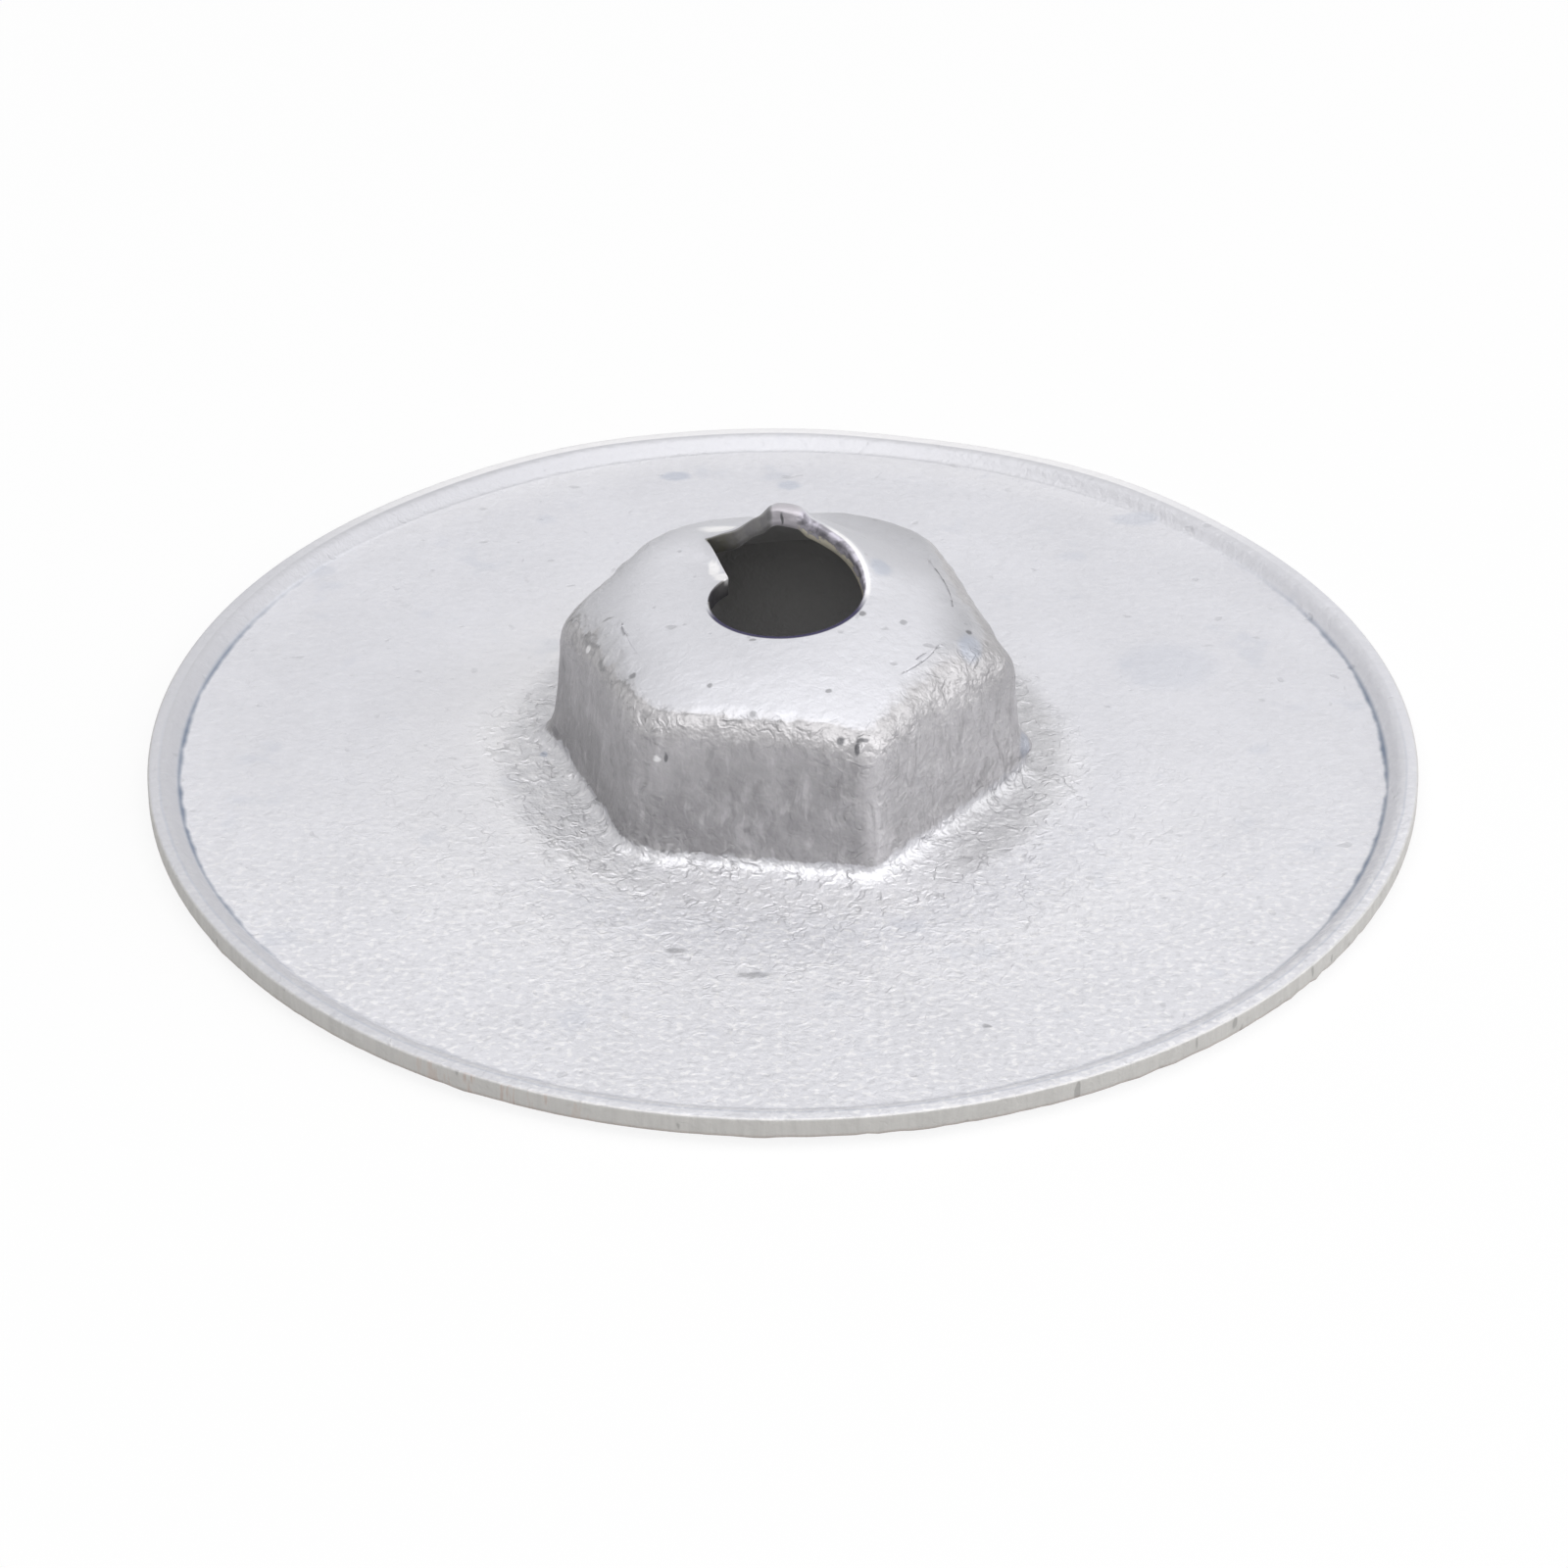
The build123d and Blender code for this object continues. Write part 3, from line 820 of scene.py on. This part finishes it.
def plating(f, at, colours, ridges, furrows, pits):
    """Tone of the zinc, lighter on the flange and crown than on the hub's ragged-edged walls, partly as
    painted shade, with painted light and painted shade by which way each surface faces.
    """
    cloud = f.noise(at.place, 0.33, 3.0, 0.6)
    tone = f.blend(f.step(cloud, 0.3, 0.7), shades(colours.zinc, 0.98), shades(colours.zinc, 1.03))
    murk = f.step(f.noise(at.bent, 1.3, 3.0, 0.6), 0.42, 0.7)
    tone = f.blend(murk * (0.09 + 0.03 * at.front), tone, shades(colours.zinc, 0.72))
    tone = f.blend(f.step(at.radius, 6.0, 4.0) * 0.13, tone, shades(colours.zinc, 0.6))
    # Painted light: the flange in front of the hub made lighter.
    tone = f.blend(at.front * f.step(at.radius, 7.8, 9.5) * 0.35, tone, colours.burnish_and_highlight)
    # Painted light: a lighter ring on the flange round the hub's front left, where the hub shades it.
    skirt_light = at.flange * f.step(at.radius, 10.5, 6.0)
    skirt_light = skirt_light * f.step(at.ahead, -0.95, -0.5) * f.step(at.right, 0.4, -0.3)
    tone = f.blend(skirt_light * 0.45, tone, colours.burnish_and_highlight)
    # Painted light on the flange where it rises to the rim at the back.
    back_rim_light = f.step(at.radius, 12.9, 14.1) * f.step(at.ahead, 0.5, 0.95)
    tone = f.blend(back_rim_light * 0.25, tone, colours.burnish_and_highlight)
    stipple = f.noise(f.stretch(at.place, (5.0, 7.0, 6.0)), 1.0, 1.0)
    dusted = at.flange * (0.15 + 0.85 * f.step(at.y, 1.0, -9.0))
    tone = f.blend(f.step(stipple, 0.54, 0.66) * dusted * 0.65, tone, colours.burnish_and_highlight)
    tone = f.blend(f.step(stipple, 0.42, 0.31) * dusted * 0.12, tone, colours.grit_and_shade)
    patch = f.noise(at.place, 0.8, 3.0, 0.65)
    teeth = f.noise(f.stretch(at.bent, (3.4, 3.4, 1.3)), 1.0, 2.0, 0.6) + 0.5 * f.noise(at.place, 0.9) - 0.75
    right_face = f.step(at.right, 0.3, 0.65)
    left_face = f.step(at.right, 0.0, -0.6)

    # The hub's wall tone: partly drawn zinc, partly painted shade of the steep walls.
    drawn = colours.hub_zinc_and_shade
    hub_tone = f.blend(f.step(patch, 0.35, 0.65), shades(drawn, 0.85), shades(drawn, 1.12))
    # Painted light: the right face and the upper part of the walls lighter, where the lamps fall.
    hub_tone = f.blend(right_face * 0.6, hub_tone, shades(drawn, 1.15))
    hub_tone = f.blend(f.step(at.z, 2.4, 3.8) * 0.5, hub_tone, shades(drawn, 1.2))
    # Painted shade: darker low on the walls, most on the left face.
    low = f.step(at.z + 0.8 * (patch - 0.5), 3.3, 1.0) * (0.45 + 0.55 * left_face) * (1.0 - right_face)
    hub_tone = f.blend(low * 0.6, hub_tone, shades(drawn, 0.68))
    # Painted highlight down the rounded corner at -67 degrees.
    hub_tone = f.blend(f.hill(at.angle, -67.0, 6.0) * 0.6, hub_tone, shades(drawn, 1.5))
    streak = f.noise(f.stretch(at.bent, (4.0, 4.0, 1.0)), 1.0, 2.0, 0.6)
    hub_tone = f.blend(f.step(streak, 0.55, 0.7) * 0.3, hub_tone, shades(drawn, 1.6))
    hub_tone = f.blend(f.step(streak, 0.45, 0.3) * 0.3, hub_tone, shades(drawn, 0.5))
    hub_tone = f.blend(f.step(at.x, 4.1, 5.0) * f.step(at.z, 2.6, 3.6) * 0.6, hub_tone, shades(drawn, 0.8))

    at_left_corner = f.hill(at.angle, -124.0, 26.0)
    at_right_corner = f.hill(at.angle, -76.0, 24.0)
    lowered = 0.7 * right_face + 0.85 * at_left_corner + 0.7 * at_right_corner
    edge = at.wall + 0.8 * teeth + at.shoulder * lowered - at.foot * 0.35 * at_right_corner
    on_wall = 0.35 * f.step(edge, 0.1, 0.5) + 0.65 * f.step(edge, 0.48, 0.64 + 0.3 * right_face)
    tone = f.blend(on_wall, tone, hub_tone)
    underline = f.hill(edge, 0.66, 0.16) * (at.shoulder + at.foot).clamp() * (1.0 - right_face)
    underline = underline * f.step(f.noise(at.bent, 2.2, 1.0), 0.4, 0.56)

    # Painted shade: the crown's slopes darker at the left, the back and the far right, and behind the raised
    # lip.
    upper = f.step(at.radius, 2.9, 4.7)
    turned_shade = (0.51 * f.step(at.right, -0.35, -0.95) + 0.27 * f.step(at.ahead, 0.3, 0.95)) * upper
    turned_shade = turned_shade + f.step(at.x + 0.6 * (patch - 0.5), 3.1, 4.5) * (0.95 - 0.4 * f.step(at.ahead, 0.1, 0.4))
    turned_shade = turned_shade + 0.25 * upper * right_face * f.step(at.ahead, 0.1, 0.5)
    shade_behind_lip = f.step(at.angle, 5.0, 30.0) * f.step(at.angle, 84.0, 70.0) * f.step(at.radius, 2.05, 2.25)
    turned_shade = (turned_shade + 0.42 * shade_behind_lip).clamp()
    tone = f.blend(turned_shade * (1.0 - at.flange) * (1.0 - on_wall), tone, shades(colours.zinc, 0.6))

    # Painted light: the foot's bend, which faces up, lighter.
    tone = f.blend(at.foot * 0.3 * (1.0 - on_wall), tone, colours.burnish_and_highlight)
    # Painted highlights: bright squiggles on the shoulder and foot and on the curls' ridges.
    bright = f.step(f.noise(at.bent, 5.0, 1.0), 0.54, 0.64) * (0.5 * at.shoulder + at.foot)
    bright = (ridges * 0.7 + bright).clamp() * at.rough
    tone = f.blend(bright * (0.35 - 0.1 * on_wall) * (1.0 - 0.6 * right_face), tone, colours.burnish_and_highlight)
    tone = f.blend(underline * 0.5, tone, colours.grit_and_shade)
    # Painted shade in the curls' furrows.
    tone = f.blend(furrows * at.rough * 0.22, tone, colours.grit_and_shade)
    tone = f.blend((1.0 - at.grain * 1.6).clamp() * (0.2 + 0.5 * at.rough) * 0.2, tone, colours.grit_and_shade)
    bluish = f.step(f.noise(at.place, 0.75, 2.0), 0.62, 0.74) * at.flange
    tone = f.blend(bluish * 0.12, tone, colours.stain)
    return f.blend(pits * (0.3 - 0.12 * at.flange), tone, colours.grit_and_shade)


def rim(f, at, colours, tone):
    """Painted shade on the slope and a bluish line of painted shade in the crease, strongest left and right,
    painted light and shade on the top band, then the bare cut face, whose colour also lies as painted shade
    on the rolled corner at the front.
    """
    side = f.step(abs(at.right), 0.7, 0.97)
    to_left = f.step(at.right, 0.1, -0.9)
    top = 1.0 - at.inner
    wander = f.noise(at.place, 1.3, 2.0) - 0.5
    # Painted shade: a bluish dark line in the crease, strongest left and right and none at the back.
    crease = f.hill(at.radius + 0.1 * wander, 14.26, 0.1 + 0.16 * wander) * (0.25 + 0.75 * side)
    crease = crease * (1.0 - f.step(at.ahead, 0.2, 0.8)) * top
    to_back = f.step(at.ahead, 0.5, 0.9)
    slope = f.step(at.radius, 14.28 - 0.12 * to_back, 14.36 - 0.12 * to_back)
    slope = slope * f.step(at.radius, 14.76, 14.68) * top
    # Painted shade: the rim's slope greyer, most at the left and the back.
    tone = f.blend(slope * (0.25 + 0.5 * to_left + 0.35 * to_back), tone, shades(colours.zinc, 0.72))
    band = f.step(at.radius, 14.7, 14.75) * top
    # Painted shade on the rim's top band at the left, painted light on it at the back.
    tone = f.blend(band * to_left * 0.6, tone, shades(colours.zinc, 0.78))
    tone = f.blend(band * to_back * 0.8, tone, colours.burnish_and_highlight)
    # Painted shade along the rim's upper bend at the front.
    upper_bend_shade = f.hill(at.radius + 0.06 * wander, 14.72, 0.05) * f.step(at.ahead, 0.3, -0.3) * top
    tone = f.blend(upper_bend_shade * 0.25, tone, shades(colours.stain, 0.9))
    tone = f.blend((crease * (0.8 + 1.2 * wander)).clamp(), tone, shades(colours.stain, 0.62))

    shear = f.noise(f.stretch(at.place, (5.0, 5.0, 0.6)), 1.0, 3.0, 0.7)
    bare = f.blend(f.step(shear, 0.3, 0.7), shades(colours.cut_steel, 1.1), shades(colours.cut_steel, 1.22))
    nicks = f.step(f.noise(f.stretch(at.place, (3.0, 3.0, 1.2)), 1.0, 1.0), 0.7, 0.76)
    bare = f.blend(nicks * 0.4, bare, shades(colours.cut_steel, 0.3))
    bare = f.blend(f.step(at.through, 0.25, 0.0) * 0.4, bare, shades(colours.rust, 0.8))
    rust = f.hill(at.angle, -115.0, 14.0) * f.step(shear, 0.52, 0.62)
    bare = f.blend(rust * 0.45, bare, colours.rust)
    # Painted shade: the rolled top corner at the front takes the darker bare-cut colour.
    corner = f.step(at.radius, 14.93, 14.97) * f.step(at.ahead, 0.5, 0.1) * top
    return f.blend((at.cut * at.flange + corner * 0.6).clamp(), tone, bare)


def hole(f, at, colours, tone):
    """Wall of the hole: mottled between a gold line and a painted highlight on the crest, grey in the notch
    and darkened partly as painted shade, dark with painted shade at the left, with a line of painted shade on
    the near edge.
    """
    blotch = f.step(f.noise(at.place, 4.5, 2.0, 0.6), 0.36, 0.66)
    wall = f.blend(blotch, shades(colours.mottle, 1.1), shades(colours.mottle, 2.4))
    low_line = f.step(at.through + 0.3 * (blotch - 0.5), 0.34, 0.18)
    wall = f.blend(low_line * f.step(at.angle, 86.0, 78.0), wall, colours.gold)
    # Painted light: the hole's wall under the nub, which faces the front, made lighter.
    wall = f.blend(f.step(at.angle, 74.0, 80.0), wall, shades(colours.nub, 1.5))
    in_notch = f.step(at.angle, 97.0, 101.0) * f.step(at.angle, 134.0, 130.0)
    rag = 6.0 * (f.noise(at.place, 4.0, 1.0) - 0.5)
    # The notch's wall, browner towards its root, darkened partly as painted shade.
    notch_tone = f.blend(f.step(at.angle + rag, 112.0, 119.0), colours.notch_grey, colours.notch_brown)
    notch_tone = f.blend(blotch * 0.35, notch_tone, shades(colours.mottle, 0.8))
    wall = f.blend(in_notch, wall, notch_tone)
    # Painted shade: the hole's left wall dark, with painted light towards the beak's tip and the top.
    at_left = f.step(abs(at.angle), 132.0, 136.0)
    lit = f.step(at.angle, 166.0, 141.0) * at.through
    wall = f.blend(at_left, wall, f.blend(lit, shades(colours.mottle, 0.25), colours.notch_grey))
    tone = f.blend(at.cut * (1.0 - at.flange), tone, wall)
    near_hole = (1.0 - f.step(at.radius, 3.7, 3.9)) * (1.0 - at.inner)
    # Painted highlight along the rolled crest of the lip's edge.
    crest = f.step(at.through, 0.9, 0.97) * f.step(at.through, 1.06, 1.02)
    crest = crest * f.step(abs(at.angle - 24.0), 40.0, 28.0)
    tone = f.blend(crest * near_hole, tone, colours.burnish_and_highlight)
    # Painted shade: a dark line where the hole's near edge turns down, on the front side only.
    near_edge_shade = f.step(at.through, 0.6, 0.7) * f.step(at.through, 1.04, 1.02) * f.step(at.ahead, -0.1, -0.5)
    tone = f.blend(near_edge_shade * near_hole, tone, colours.hole_line)
    # Painted shade on the rolled top edge of the notch's far side.
    verge_shade = f.step(at.through, 1.14, 1.03) * near_hole * (1.0 - at.cut)
    on_far_side = f.step(at.angle, 97.0, 101.0) * f.step(at.angle, 127.0, 123.0)
    return f.blend(verge_shade * on_far_side * 0.9, tone, shades(colours.notch_grey, 0.7))


def scars_and_painted_light(f, at, colours, tone, placed):
    """Lays the placed marks over the plating, with ragged edges: real grit, scratches and stains, and painted
    highlights and painted shade.
    """
    frayed = f.warp(at.place, 4.0, 0.12)
    for centre, reach, strength, finish in placed:
        offset = f.node("ShaderNodeVectorMath", {"operation": "SUBTRACT"}, {0: frayed, 1: centre})
        offset = f.stretch(offset, tuple(1.0 / r for r in reach))
        distance = f.node("ShaderNodeVectorMath", {"operation": "LENGTH"}, {0: offset}, "Value")
        tone = f.blend(f.step(distance, 1.0, 0.45) * strength, tone, getattr(colours, finish))
    return tone


def zinc_plate(colours, placed):
    """Zinc plating on pressed steel: matte and pitted, grey on the hub partly as painted shade, bare where
    cut, with painted highlights and painted shade in its colour.
    """
    f = Finish(bpy.data.materials.new("zinc_plate"))
    at = Spot(f)
    ridges, furrows = curl_pattern(f, at)
    pits = f.step(f.noise(at.bent, 2.2, 1.0), 0.71, 0.78)
    tone = plating(f, at, colours, ridges, furrows, pits)
    tone = rim(f, at, colours, tone)
    tone = hole(f, at, colours, tone)
    tone = scars_and_painted_light(f, at, colours, tone, placed)
    hollow = at.inner * f.step(at.radius, 5.4, 4.9)
    tone = f.blend(hollow, tone, colours.inside)

    rough = 0.5 + 0.06 * at.grain - 0.1 * (at.shoulder + at.foot).clamp() - 0.08 * at.wall
    height = relief(f, at, ridges, furrows, pits)
    skin = f.node("ShaderNodeBump", {}, {"Strength": 1.0, "Distance": 0.026 * MM, "Height": height})
    shader = f.node(
        "ShaderNodeBsdfPrincipled",
        {},
        {"Base Color": tone, "Metallic": colours.metal, "Roughness": rough, "Normal": skin},
    )
    f.node("ShaderNodeOutputMaterial", {}, {"Surface": shader})
    return f.owner


# Operators


class CLIPNUT_OT_press_nut(bpy.types.Operator):
    """Press the clip nut from one disc of sheet"""

    bl_idname = "clipnut.press_nut"
    bl_label = "Press the nut"

    def execute(self, context):
        form = PressedSheet(context.scene.nut_sizes)
        stations = sheet_stations(form)
        face = np.array([form.hex_turn + 30.0])
        outline = []
        for station in stations:
            reach, level = station_place(form, station, face)
            outline.append((float(reach[0]), float(level[0])))
        nut = spin_section("pressed_nut", outline, context.scene.nut_sizes.sectors)
        marks = press_to_form(nut, form, stations, outline)
        wear_and_warp(nut, form, marks)
        deselect_all()
        nut.select_set(True)
        context.view_layer.objects.active = nut
        bpy.ops.object.shade_smooth()
        nut.data.materials.append(zinc_plate(context.scene.nut_finish, place_scars(nut)))
        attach(nut, "root")
        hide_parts("clip_nut")
        return {"FINISHED"}


class CLIPNUT_OT_set_stage(bpy.types.Operator):
    """Set the floor, lamps, world and camera"""

    bl_idname = "clipnut.set_stage"
    bl_label = "Set the stage"

    def execute(self, context):
        studio = context.scene.studio
        deselect_all()
        bpy.ops.mesh.primitive_plane_add(size=studio.floor_size, location=(0.0, 0.0, 0.0))
        floor = context.object
        floor.name = floor.data.name = "floor"
        floor.data.materials.append(white_floor())
        context.scene.world = white_world(studio.fill)
        add_lamp("top_lamp", studio.top_power, size=0.7, place=(0.03, -0.15, 0.5))
        add_lamp("side_lamp", studio.side_power, size=0.4, place=(0.5, -0.05, 0.25))
        add_camera(studio)
        context.scene.view_settings.view_transform = "Standard"
        return {"FINISHED"}


def white_floor():
    """White floor that keeps a faint shadow."""
    f = Finish(bpy.data.materials.new("white_floor"))
    seen = f.node("ShaderNodeLightPath", output="Is Camera Ray")
    board = f.node("ShaderNodeBsdfDiffuse", {}, {"Color": (0.9, 0.9, 0.9, 1.0)})
    glow = f.node("ShaderNodeEmission", {}, {"Color": (1.0, 1.0, 1.0, 1.0), "Strength": 1.02})
    mixed = f.node("ShaderNodeMixShader", {}, {0: seen * 0.85, 1: board, 2: glow})
    f.node("ShaderNodeOutputMaterial", {}, {"Surface": mixed})
    return f.owner


def white_world(fill):
    """White to the camera and in reflections, and a dimmer even light on the nut."""
    f = Finish(bpy.data.worlds.new("white_room"))
    seen = f.node("ShaderNodeLightPath", output="Is Camera Ray")
    for name in ("Is Glossy Ray", "Is Transmission Ray"):
        seen = seen.work("MAXIMUM", seen, f.node("ShaderNodeLightPath", output=name))
    white = {"Color": (1.0, 1.0, 1.0, 1.0), "Strength": fill + seen * (1.0 - fill)}
    f.node("ShaderNodeOutputWorld", {}, {"Surface": f.node("ShaderNodeBackground", {}, white)})
    return f.owner


def add_lamp(name, power, size, place):
    """A soft square lamp that faces the nut."""
    deselect_all()
    bpy.ops.object.light_add(type="AREA", location=place)
    lamp = bpy.context.object
    lamp.name = lamp.data.name = name
    lamp.data.energy = power
    lamp.data.shape = "SQUARE"
    lamp.data.size = size
    lamp.rotation_euler = (-Vector(place)).to_track_quat("-Z", "Y").to_euler()


def add_camera(studio):
    """The camera at the photograph's angle."""
    deselect_all()
    stand, back = camera_stand(studio.camera_distance, studio.camera_elevation)
    bpy.ops.object.camera_add(location=stand)
    camera = bpy.context.object
    camera.name = camera.data.name = "camera"
    camera.rotation_euler = (-back).to_track_quat("-Z", "Y").to_euler()
    camera.data.lens = studio.lens
    camera.data.sensor_width = SENSOR_WIDTH
    camera.data.shift_x = PHOTO_SHIFT_X
    camera.data.shift_y = PHOTO_SHIFT_Y
    camera.data.clip_start = 0.005
    camera.data.clip_end = 10.0
    bpy.context.scene.camera = camera


class CLIPNUT_PT_sidebar(bpy.types.Panel):
    """Steps and sizes of the clip nut"""

    bl_idname = "CLIPNUT_PT_sidebar"
    bl_label = "Clip nut"
    bl_space_type = "VIEW_3D"
    bl_region_type = "UI"
    bl_category = "Clip Nut"

    def draw(self, context):
        layout = self.layout
        layout.operator("clipnut.press_nut")
        layout.operator("clipnut.set_stage")
        for group in (context.scene.nut_sizes, context.scene.nut_finish, context.scene.studio):
            box = layout.box()
            for key in group.__annotations__:
                box.prop(group, key)


CLASSES = (
    NutSizes,
    NutFinish,
    StudioSettings,
    CLIPNUT_OT_press_nut,
    CLIPNUT_OT_set_stage,
    CLIPNUT_PT_sidebar,
)


def register():
    for cls in CLASSES:
        bpy.utils.register_class(cls)
    bpy.types.Scene.nut_sizes = PointerProperty(type=NutSizes)
    bpy.types.Scene.nut_finish = PointerProperty(type=NutFinish)
    bpy.types.Scene.studio = PointerProperty(type=StudioSettings)


def unregister():
    del bpy.types.Scene.studio
    del bpy.types.Scene.nut_finish
    del bpy.types.Scene.nut_sizes
    for cls in reversed(CLASSES):
        bpy.utils.unregister_class(cls)


def main():
    register()
    bpy.ops.clipnut.press_nut()
    bpy.ops.clipnut.set_stage()


if __name__ == "__main__":
    main()
